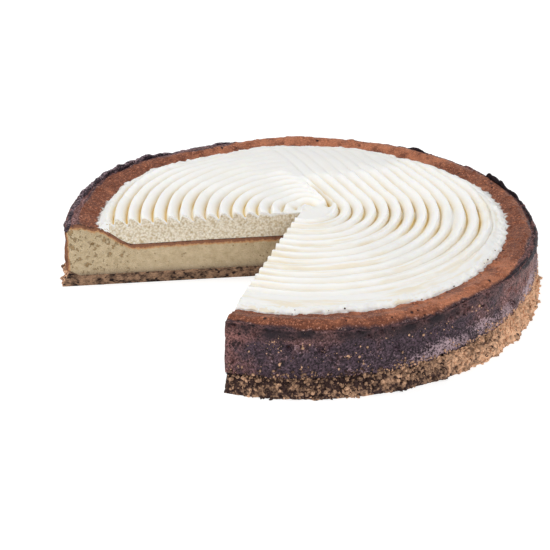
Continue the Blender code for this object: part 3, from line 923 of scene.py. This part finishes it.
def foot_shape(azimuth, share, crumbs):
    """Radius and height of the foot's ragged side, from the top of its crumbs at share 0 to the table at 1."""
    shares = (0.0, 0.18, 0.42, 0.68, 0.88, 1.0)
    proud = 0.8 - 0.9 * (1.0 - smooth_step(azimuth, -75.0, -45.0)) - 3.2 * (1.0 - smooth_step(azimuth, -107.0, -103.0))
    proud = proud - 2.3 * smooth_step(azimuth, -35.0, -12.0)
    radius = eased(share, shares, (138.0, 138.9, 139.9, 141.0, 141.7, 141.5)) * MM
    radius = radius + proud * MM * np.sin(np.pi * np.clip(share, 0.0, 1.0)) ** 0.5
    spot = round_axis(azimuth, 140.0 * MM, 0.0)
    ragged = 1.0 + 0.16 * rough(spot, 8.0 * MM, 3, 77)
    height = crumbs * ragged * eased(share, shares, (1.0, 0.93, 0.72, 0.42, 0.12, 0.0))
    places = round_axis(azimuth, radius, height)
    lump, _ = grains(places, CRUMB_SIZE, 71)
    fine, _ = grains(places, 1.2 * MM, 75)
    uneven = 0.7 + 0.7 * smooth_step(azimuth, -75.0, -40.0)
    push = 2.4 * (lump - 0.75) + 0.8 * (fine - 0.75) + uneven * (noise(places, 9.0 * MM, 73) + noise(places, 4.5 * MM, 74))
    shown = smooth_step(share, 0.0, 0.08) * (1.0 - 0.6 * smooth_step(share, 0.93, 1.0))
    return np.minimum(radius + push * shown * MM, 144.3 * MM), height


# ---------------------------------------------------------------- loose crumbs


def ball(rounds=1):
    """Vertices and triangles of a unit ball: an octahedron whose triangles are split in four, once per round."""
    points = [np.array(p, float) for p in ((1, 0, 0), (-1, 0, 0), (0, 1, 0), (0, -1, 0), (0, 0, 1), (0, 0, -1))]
    faces = [(0, 2, 4), (2, 1, 4), (1, 3, 4), (3, 0, 4), (2, 0, 5), (1, 2, 5), (3, 1, 5), (0, 3, 5)]
    for _ in range(rounds):
        known, split = {}, []

        def halfway(one, other):
            key = (min(one, other), max(one, other))
            if key not in known:
                middle = points[one] + points[other]
                points.append(middle / np.linalg.norm(middle))
                known[key] = len(points) - 1
            return known[key]

        for a, b, c in faces:
            ab, bc, ca = halfway(a, b), halfway(b, c), halfway(c, a)
            split += [(a, ab, ca), (ab, b, bc), (ca, bc, c), (ab, bc, ca)]
        faces = split
    return np.array(points), np.array(faces)


def crumb_mesh(name, middles, sizes, chance):
    """Rough lumps of the given sizes at the given middles, each turned and dented at random."""
    unit, faces = ball(1)
    count = len(middles)
    dents = 1.0 + 0.30 * chance.uniform(-1.0, 1.0, (count, len(unit), 1))
    stretch = chance.uniform(0.65, 1.25, (count, 1, 3))
    turns, _ = np.linalg.qr(chance.normal(size=(count, 3, 3)))
    turns = turns * np.sign(np.linalg.det(turns))[:, None, None]
    shapes = np.einsum("nij,nkj->nki", turns, unit[None] * dents * stretch)
    places = middles[:, None] + shapes * sizes[:, None, None]
    places[..., 2] = np.maximum(places[..., 2], 0.0)
    numbers = faces[None] + len(unit) * np.arange(count)[:, None, None]
    mesh = bpy.data.meshes.new(name)
    mesh.from_pydata(places.reshape(-1, 3), [], numbers.reshape(-1, 3).tolist())
    return mesh, len(unit)


class CHEESECAKE_OT_crumbs(bpy.types.Operator):
    """Scatter loose crumbs over the foot, the dark side and the cream's edge"""

    bl_idname = "cheesecake.crumbs"
    bl_label = "Loose crumbs"

    def execute(self, context):
        size, colours = context.scene.cake_sizes, context.scene.cake_colours
        chance = np.random.default_rng(7)
        count = 2300
        turn = chance.uniform(FIRST_CUT + 0.4, LAST_CUT - 0.4, count)
        crumbs = eased(turn, *CRUMB_TOPS) * MM
        share = chance.beta(0.9, 1.1, count)
        radius, height = foot_shape(turn, share, crumbs)
        scale = (0.40 + 1.05 * chance.uniform(0.0, 1.0, count) ** 1.6) * MM
        lift = chance.uniform(-0.4, 0.7, count) * scale
        middles = round_axis(turn, np.minimum(radius + lift, 144.6 * MM - scale), np.maximum(height, 0.4 * scale))
        tone = crumb_tone(middles) + chance.uniform(-0.35, 0.55, count)

        climbing = 2700
        turn = chance.uniform(FIRST_CUT + 0.5, LAST_CUT - 0.5, climbing)
        crumbs = eased(turn, *CRUMB_TOPS) * MM
        shoulder = eased(turn, *SHOULDERS) * MM
        height = crumbs - 1.2 * MM + chance.exponential(2.2, climbing) * MM
        small = (0.22 + 0.65 * chance.uniform(0.0, 1.0, climbing) ** 1.5) * MM
        radius = np.maximum(wall_radius(turn, height, shoulder, size), 138.2 * MM) + 0.1 * MM
        places = round_axis(turn, radius, height)
        middles = np.vstack([middles, places])
        scale = np.append(scale, small)
        tone = np.append(tone, crumb_tone(places) + chance.uniform(-0.25, 0.55, climbing))

        clumps = 26
        strays = 7 * clumps
        around = FIRST_CUT + 2.0 + chance.beta(0.8, 1.8, clumps) * 150.0
        share = chance.beta(3.0, 1.6, clumps)
        turn = np.repeat(around, 7) + chance.normal(0.0, 1.5, strays)
        shoulder = eased(turn, *SHOULDERS) * MM
        height = np.repeat(15.0 * MM + share * 19.0 * MM, 7) + chance.normal(0.0, 2.2, strays) * MM
        height = np.minimum(height, shoulder - 1.0 * MM)
        turn = np.maximum(turn, FIRST_CUT + 0.5)
        middles = np.vstack([middles, round_axis(turn, wall_radius(turn, height, shoulder, size), height)])
        scale = np.append(scale, (0.15 + 0.70 * chance.uniform(0.0, 1.0, strays) ** 4.0) * MM)
        tone = np.append(tone, chance.uniform(0.45, 1.1, strays))

        specks = 9
        turn = chance.uniform(-95.0, -8.0, specks)
        radius = cream_edge(turn, size) - chance.uniform(-0.8, 1.5, specks) * MM
        spots = round_axis(turn, radius, 0.0)
        spots[:, 2] = np.maximum(cream_height(spots, size)[0], skin_height(radius, turn)) + 0.1 * MM
        middles = np.vstack([middles, spots])
        scale = np.append(scale, chance.uniform(0.2, 0.5, specks) * MM)
        tone = np.append(tone, chance.uniform(0.0, 0.2, specks))

        mesh, corners = crumb_mesh("loose_crumbs", middles, scale, chance)
        set_attribute(mesh, "tone", np.repeat(tone, corners))
        add_piece(mesh, [crumb_material(colours, "loose_crumb", 0.7 * MM)], "biscuit_crumb", sharp=70.0)
        return {"FINISHED"}


# ---------------------------------------------------------------- cream

SWIRL_CENTRE = np.array([3.8, 4.5]) * MM
RUN_TURN = 21.6                     # azimuth past which the right-hand tracks run straight on, in degrees
FIRST_VALLEY = 11.4 * MM            # radius of the innermost valley on the right
LEFT_VALLEY = 14.2 * MM             # and on the left
LEFT_PITCH = 7.65 * MM
CREST_PHASE = 0.80                  # where the crest stands between two valleys
SEAM = 15.5 * MM                    # distance from the swirl's centre to the seam between both sides
SEAM_LENGTH = 40.0 * MM
PIT = np.array([17.2, 10.7]) * MM   # deep hollow where the seam starts
CURL = np.array([5.0, 3.0]) * MM    # middle of the small hook of cream beside the swirl's centre
CURL_RADIUS = 4.3 * MM


def ridge_profile(number):
    """Height from 0 in a valley to 1 on a crest: a rounded climb outwards, then a steep drop."""
    phase = number - np.floor(number)
    climb = np.sin(0.5 * np.pi * np.clip(phase / CREST_PHASE, 0.0, 1.0)) ** 0.9
    drop = np.cos(0.5 * np.pi * np.clip((phase - CREST_PHASE) / (1.0 - CREST_PHASE), 0.0, 1.0)) ** 1.2
    return np.where(phase < CREST_PHASE, climb, drop)


def comb(points, size):
    """Ridge height from 0 to 1, the ridges' strength, and how much a point takes the valley's ochre from 0 to 1, which
    is partly the cream's own tint and partly painted shade.

    Left of the seam the ridges are rings round the swirl's centre.  On the right they are rings too, up to
    RUN_TURN, and beyond it they run straight on beside the seam, until they are smeared out at the back.
    They are shallow in front, and grow shallow towards the seam on the left.
    """
    spot = points[..., :2] - SWIRL_CENTRE
    ring, turn = polar(spot)
    wobble = 0.35 * MM * noise(points, 30.0 * MM, 91) + 0.22 * MM * noise(points, 9.0 * MM, 92)
    run = np.radians(RUN_TURN)
    across = spot[..., 0] * math.cos(run) + spot[..., 1] * math.sin(run)
    ahead = -spot[..., 0] * math.sin(run) + spot[..., 1] * math.cos(run)
    right = np.where(ahead > 0.0, across, ring)
    left_side = (ahead > 0.0) & (across < SEAM)
    number = np.where(left_side, (ring + wobble - LEFT_VALLEY) / LEFT_PITCH,
                      (right + wobble - FIRST_VALLEY) / size.ridge_pitch)
    height = ridge_profile(number)
    bank = smooth_step(across, SEAM - 7.0 * MM, SEAM - 1.8 * MM)
    height = np.where(left_side, height + bank * (0.85 - height), height)
    along = smooth_step(ahead, -1.0 * MM, 2.0 * MM) * (1.0 - smooth_step(ahead, 0.5 * SEAM_LENGTH, SEAM_LENGTH))
    beside = (across - SEAM) / MM
    groove = along * np.where(beside < 0.0, np.exp(-(beside / 0.9) ** 2), np.exp(-(beside / 1.5) ** 2))
    height = height + 0.25 * along * np.exp(-((beside + 1.9) / 0.9) ** 2)
    height = height * (1.0 - groove) - 0.25 * groove

    smear = ((points[..., 0] - 8.0 * MM) / (52.0 * MM)) ** 2 + ((points[..., 1] - 94.0 * MM) / (33.0 * MM)) ** 2
    smear = smear + 0.55 * noise(points, 12.0 * MM, 98)
    strength = 0.14 + 0.86 * smooth_step(smear, 0.7, 2.0)
    front = 0.5 + 0.5 * smooth_step(turn, -42.0, -14.0) + 0.15 * (1.0 - smooth_step(turn, -104.0, -92.0))
    front = front * (1.0 - 0.55 * smooth_step(turn, 100.0, 125.0) * (1.0 - smooth_step(turn, 132.0, 165.0)))
    scar = ((ring - 85.0 * MM) / (5.0 * MM)) ** 2 + ((turn + 8.0) / 11.0) ** 2
    front = front * (1.0 - 0.7 * np.exp(-scar)) * (1.0 - 0.22 * smooth_step(noise(points, 17.0 * MM, 93), 0.1, 0.6))
    last = (106.5 + 9.5 * smooth_step(turn, 128.0, 150.0)) * MM
    strength = strength * front * (1.0 - smooth_step(ring, last, last + 4.5 * MM))
    hub = np.where(left_side, smooth_step(ring, 2.0 * MM, 6.0 * MM) * smooth_step(ahead, 0.0, 6.0 * MM),
                   smooth_step(ring, 13.0 * MM, 16.5 * MM))
    phase = number - np.floor(number)
    # Valley ochre, partly the cream's tint and partly painted shade: most at the valley's foot, fading up the climb.
    beige = np.maximum(np.exp(-phase / 0.24), np.exp((phase - 1.0) / 0.07))
    beige = np.where(left_side, beige * (1.0 - bank), beige)
    valley = strength * hub * np.maximum(beige, 1.1 * groove)
    along = np.where(ahead > 0.0, ahead, np.radians(turn - RUN_TURN) * ring)
    track = np.stack([np.where(left_side, ring, right), 0.07 * along, 0.0 * ring], axis=-1)
    scratch = rough(track, 1.7 * MM, 2, 94) * smooth_step(ring, 8.0 * MM, 16.0 * MM)
    in_front = 1.0 - smooth_step(turn, -60.0, -5.0)
    height = height + (0.04 + 0.10 * in_front) * scratch
    # Partly painted shade: the low parts of the scratches are tinted like valleys, most in front.
    valley = np.maximum(valley, (0.12 + 0.34 * in_front) * smooth_step(-scratch, 0.0, 0.8))
    return height, strength * hub, valley


def hub_relief(points):
    """Height of the small forms beside the swirl's centre: a hook of cream, and the pit at the seam's start."""
    spot = points[..., :2] - CURL
    off = np.hypot(spot[..., 0], spot[..., 1]) - CURL_RADIUS
    turn = np.degrees(np.arctan2(spot[..., 1], spot[..., 0])) % 360.0
    shown = smooth_step(turn, 62.0, 90.0) * (1.0 - smooth_step(turn, 190.0, 215.0))
    hook = shown * (1.4 * np.exp(-(off / (1.0 * MM)) ** 2) - 0.8 * np.exp(-((off + 2.4 * MM) / (1.0 * MM)) ** 2))
    away = np.hypot(points[..., 0] - PIT[0], points[..., 1] - PIT[1])
    hollow = np.exp(-(away / (2.1 * MM)) ** 2)
    return (hook - 3.5 * hollow) * MM, hollow


def cream_height(points, size):
    """Height of the cream's top, how much each point is a valley (ochre, partly painted shade), and how much a crest
    (painted whiter as a painted highlight), from 0 to 1.
    """
    ridge, strength, valley = comb(points, size)
    distance, turn = polar(points)
    sag = (40.2 * MM - eased(turn, *RIM_CRESTS) * MM) * smooth_step(distance, 80.0 * MM, 118.0 * MM)
    level = size.cream_crest - 0.42 * size.ridge_depth
    edge = size.cream_radius
    droop = eased(distance, (0.0, 0.90 * edge, 0.94 * edge, 0.985 * edge, 1.02 * edge),
                  (0.0, 0.0, 0.2 * MM, 1.2 * MM, 2.6 * MM))
    lumps = 0.35 * MM * noise(points, 22.0 * MM, 95) + 0.15 * MM * rough(points, 5.0 * MM, 2, 96)
    dragged = np.stack([distance, 0.09 * np.radians(turn) * edge, 0.0 * distance], axis=-1)
    scraped = smooth_step(distance, 104.0 * MM, 110.0 * MM)
    streaks = rough(dragged, 2.0 * MM, 2, 97)
    torn = scraped * smooth_step(noise(points, 20.0 * MM, 99), -0.4, 0.4)
    lumps = lumps + 0.34 * MM * scraped * streaks + 0.45 * MM * torn * rough(points, 3.2 * MM, 2, 90)
    small, hollow = hub_relief(points)
    height = level - sag - droop + lumps + small + strength * size.ridge_depth * (ridge - 0.58)
    # How much the crest is painted whiter, as a painted highlight.
    crest = smooth_step(ridge, 0.35, 0.95) * smooth_step(strength, 0.25, 0.7)
    # Partly painted shade: the low streaks of the scraped band and the pit take the valley's ochre.
    valley = np.maximum(valley, 0.42 * scraped * smooth_step(-streaks, 0.0, 0.9))
    return height, np.maximum(valley, 1.1 * hollow), crest


def cream_edge(azimuth, size):
    """Radius of the cream's ragged edge: drawn in at the left, with short tongues dragged over the skin."""
    spot = round_axis(azimuth, size.cream_radius, 0.0)
    shape = eased(azimuth, (-107, -80, -45, 20, 40, 70, 105, 136, 150, 187),
                  (1.2, -1.0, 0.8, 0.8, -0.8, -1.6, -0.8, 0.8, -1.6, -2.2))
    tongues = 0.6 * noise(spot, 14.0 * MM, 101) + 0.9 * rough(spot, 4.5 * MM, 4, 102)
    gap = 6.5 * np.exp(-((azimuth - 54.7) / 1.3) ** 2)
    return size.cream_radius + (shape + tongues - 0.4 - gap) * MM


class CHEESECAKE_OT_cream(bpy.types.Operator):
    """Comb the cream into a swirl of ridges, smeared at its edge"""

    bl_idname = "cheesecake.cream"
    bl_label = "Combed cream"

    def execute(self, context):
        size, colours = context.scene.cake_sizes, context.scene.cake_colours
        stride = 12
        azimuth = np.linspace(FIRST_CUT, LAST_CUT, 31 * stride + 1)[:, None]
        turn = np.radians(azimuth)
        toward = np.cos(turn) * SWIRL_CENTRE[0] + np.sin(turn) * SWIRL_CENTRE[1]
        beside = np.cos(turn) * SWIRL_CENTRE[1] - np.sin(turn) * SWIRL_CENTRE[0]
        hub = 8.0 * MM
        outer = 108.0 * MM
        ring = np.concatenate([np.linspace(0.8, 7.4, 9), np.arange(8.0, 108.1, 0.62)]) * MM
        inner_share = np.minimum(ring / hub, 1.0)
        from_swirl = toward + np.sqrt(np.maximum(ring, hub) ** 2 - beside ** 2)
        radius = np.where(ring < hub, inner_share * from_swirl, from_swirl)
        last = radius[:, -1:]
        edge = cream_edge(azimuth, size)
        share = np.linspace(0.0, 1.0, 19)[1:][None]
        radius = np.hstack([radius, last + share * (edge - 0.7 * MM - last)])
        places = round_axis(azimuth, radius, 0.0)
        height = cream_height(places, size)[0]
        floor = skin_height(radius, azimuth)
        height = np.maximum(height, floor + 0.8 * MM)
        side = 18
        down = np.linspace(0.0, 1.0, side + 2)[1:-1][None]
        lip = edge - 0.7 * MM
        side_radius = lip + 0.8 * MM * np.sin(np.pi * np.minimum(down, 0.9)) ** 0.7
        lip_height = height[:, -1:]
        side_height = lip_height + down * (floor[:, -1:] + 0.05 * MM - lip_height)
        bottom_height = floor[:, ::-1] + 0.05 * MM
        all_radius = np.hstack([radius, side_radius, radius[:, ::-1]])
        all_height = np.hstack([height, side_height, bottom_height])
        radial = radius.shape[1]
        rows = np.arange(all_radius.shape[1])
        hidden = (rows < 5) | (rows > radial + side + 1)
        places = round_axis(azimuth, all_radius, all_height)
        axis = np.zeros((side + 2, 3))
        top = cream_height(np.zeros((1, 3)), size)[0][0]
        axis[:, 2] = np.linspace(top, SKIN_MIDDLE + 0.05 * MM, side + 2)

        def cut_depth(points, first):
            return 0.30 * MM * rough(points, 1.5 * MM, 2, 111) + 0.15 * MM

        mesh = layer_mesh("combed_cream", places, hidden, stride, radial, axis, cut_depth)
        points = points_of(mesh)
        surface, valley, crest = cream_height(points, size)
        on_top = smooth_step(points[:, 2], surface - 2.0 * MM, surface - 0.5 * MM)
        set_attribute(mesh, "valley", valley * on_top)
        set_attribute(mesh, "crest", crest * on_top)
        set_attribute(mesh, "crown", np.exp(-np.maximum(surface - points[:, 2], 0.0) / (1.6 * MM)))
        add_piece(mesh, [cream_material(colours), cut_cream_material(colours)], "whipped_cream", "cream_topping")
        return {"FINISHED"}


class CHEESECAKE_OT_fringe(bpy.types.Operator):
    """Drag the cream's edge over the skin: a thin band with ragged, feathery spikes"""

    bl_idname = "cheesecake.fringe"
    bl_label = "Cream fringe"

    def execute(self, context):
        size, colours = context.scene.cake_sizes, context.scene.cake_colours
        azimuth = np.linspace(FIRST_CUT, LAST_CUT, 1801)[:, None]
        flat = round_axis(azimuth, size.cream_radius, 0.0)
        edge = cream_edge(azimuth, size)
        left = smooth_step(azimuth, 105.0, 130.0)
        spikes = np.maximum(rough(flat, 3.4 * MM, 3, 131), -0.5) + 0.5 * smooth_step(noise(flat, 1.8 * MM, 135), 0.2, 0.9)
        outer = edge + (0.3 + (0.7 + 1.1 * left) * spikes) * MM
        inner = edge - 5.0 * MM
        share = np.linspace(0.0, 1.0, 15)[None]
        radius = inner + share * (outer - inner)
        floor = skin_height(radius, azimuth)
        places = round_axis(azimuth, radius, 0.0)
        body = np.maximum(cream_height(round_axis(azimuth, np.minimum(radius, edge - 0.7 * MM), 0.0), size)[0], floor)
        thick = (body - floor) * (1.0 - share ** 5) ** 0.8 + 0.35 * MM * smooth_step(share, 0.15, 0.5)
        lumps = 0.35 * MM * smooth_step(share, 0.1, 0.5) * rough(places, 2.6 * MM, 3, 137)
        top = floor + np.maximum(thick + lumps, 0.15 * MM) - 0.4 * MM * (1.0 - smooth_step(share, 0.0, 0.2))
        bottom = floor - 0.5 * MM
        radius = np.hstack([radius, radius[:, ::-1]])
        height = np.hstack([top, bottom[:, ::-1]])
        mesh = tube_mesh("cream_fringe", round_axis(azimuth, radius, height)[:, ::-1])
        add_piece(mesh, [cream_material(colours)], "whipped_cream")
        return {"FINISHED"}


# ---------------------------------------------------------------- stage


def add_light(name, place, target, width, height, power):
    """A soft rectangular lamp that faces a point."""
    data = bpy.data.lights.new(name, "AREA")
    data.shape = "RECTANGLE"
    data.size, data.size_y, data.energy = width, height, power
    lamp = bpy.data.objects.new(name, data)
    bpy.context.scene.collection.objects.link(lamp)
    aim_at(lamp, place, target)


def aim_at(thing, place, target):
    """Puts a camera or lamp at a place, looking at a target, with its top upwards."""
    back = np.subtract(place, target)
    back = back / np.linalg.norm(back)
    side = np.cross((0.0, 0.0, 1.0), back)
    side = side / np.linalg.norm(side)
    up = np.cross(back, side)
    thing.matrix_world = Matrix([[*row] for row in np.stack([side, up, back, place], axis=1)] + [[0, 0, 0, 1]])


class CHEESECAKE_OT_stage(bpy.types.Operator):
    """Set the pale floor, the soft lamps and the camera"""

    bl_idname = "cheesecake.stage"
    bl_label = "Stage"

    def execute(self, context):
        scene = context.scene
        scene.view_settings.view_transform = "Standard"
        world = bpy.data.worlds.new("studio")
        world.use_nodes = True
        world.node_tree.nodes["Background"].inputs["Color"].default_value = (1.0, 1.0, 1.0, 1.0)
        world.node_tree.nodes["Background"].inputs["Strength"].default_value = 0.55
        scene.world = world

        half = 4.0
        mesh = bpy.data.meshes.new("floor")
        mesh.from_pydata([(-half, -half, 0), (half, -half, 0), (half, half, 0), (-half, half, 0)], [], [(0, 1, 2, 3)])
        material, _, shader, _, _ = new_material("pale_floor", 0.8)
        shader.inputs["Base Color"].default_value = (0.5, 0.5, 0.5, 1.0)
        shader.inputs["Emission Color"].default_value = (1.0, 1.0, 1.0, 1.0)
        shader.inputs["Emission Strength"].default_value = 0.72
        mesh.materials.append(material)
        floor = bpy.data.objects.new("floor", mesh)
        scene.collection.objects.link(floor)

        middle = (0.0, 0.0, 0.03)
        add_light("left_softbox", (-0.7, 0.1, 1.1), middle, 0.4, 0.4, 6.0)
        add_light("front_softbox", (0.6, -1.1, 0.75), middle, 0.8, 0.6, 5.5)

        pitch = math.radians(27.0)
        distance = 0.8
        target = np.array([-15.0 * MM, -2.0 * MM, 0.0])
        place = target + distance * np.array([0.0, -math.cos(pitch), math.sin(pitch)])
        data = bpy.data.cameras.new("camera")
        data.sensor_width = 36.0
        data.lens = 87.05
        camera = bpy.data.objects.new("camera", data)
        scene.collection.objects.link(camera)
        aim_at(camera, place, target)
        scene.camera = camera
        return {"FINISHED"}


class CHEESECAKE_PT_panel(bpy.types.Panel):
    """Lists the cake's sizes, colours and pieces"""

    bl_idname = "CHEESECAKE_PT_panel"
    bl_label = "Baked Cheesecake"
    bl_space_type = "VIEW_3D"
    bl_region_type = "UI"
    bl_category = "Cheesecake"

    def draw(self, context):
        for group in (context.scene.cake_sizes, context.scene.cake_colours):
            for key in group.bl_rna.properties.keys():
                if key not in {"rna_type", "name"}:
                    self.layout.prop(group, key)
        for step in STEPS:
            self.layout.operator(step.bl_idname)


STEPS = (
    CHEESECAKE_OT_base,
    CHEESECAKE_OT_filling,
    CHEESECAKE_OT_lip,
    CHEESECAKE_OT_cream,
    CHEESECAKE_OT_fringe,
    CHEESECAKE_OT_crumbs,
    CHEESECAKE_OT_stage,
)
CLASSES = (CakeSizes, CakeColours, *STEPS, CHEESECAKE_PT_panel)


def register():
    for kind in CLASSES:
        bpy.utils.register_class(kind)
    bpy.types.Scene.cake_sizes = bpy.props.PointerProperty(type=CakeSizes)
    bpy.types.Scene.cake_colours = bpy.props.PointerProperty(type=CakeColours)


def unregister():
    del bpy.types.Scene.cake_colours
    del bpy.types.Scene.cake_sizes
    for kind in reversed(CLASSES):
        bpy.utils.unregister_class(kind)


def main():
    register()
    mottle_group()
    pit_group()
    grain_group()
    for step in STEPS:
        piece, name = step.bl_idname.split(".")
        getattr(getattr(bpy.ops, piece), name)()


if __name__ == "__main__":
    main()
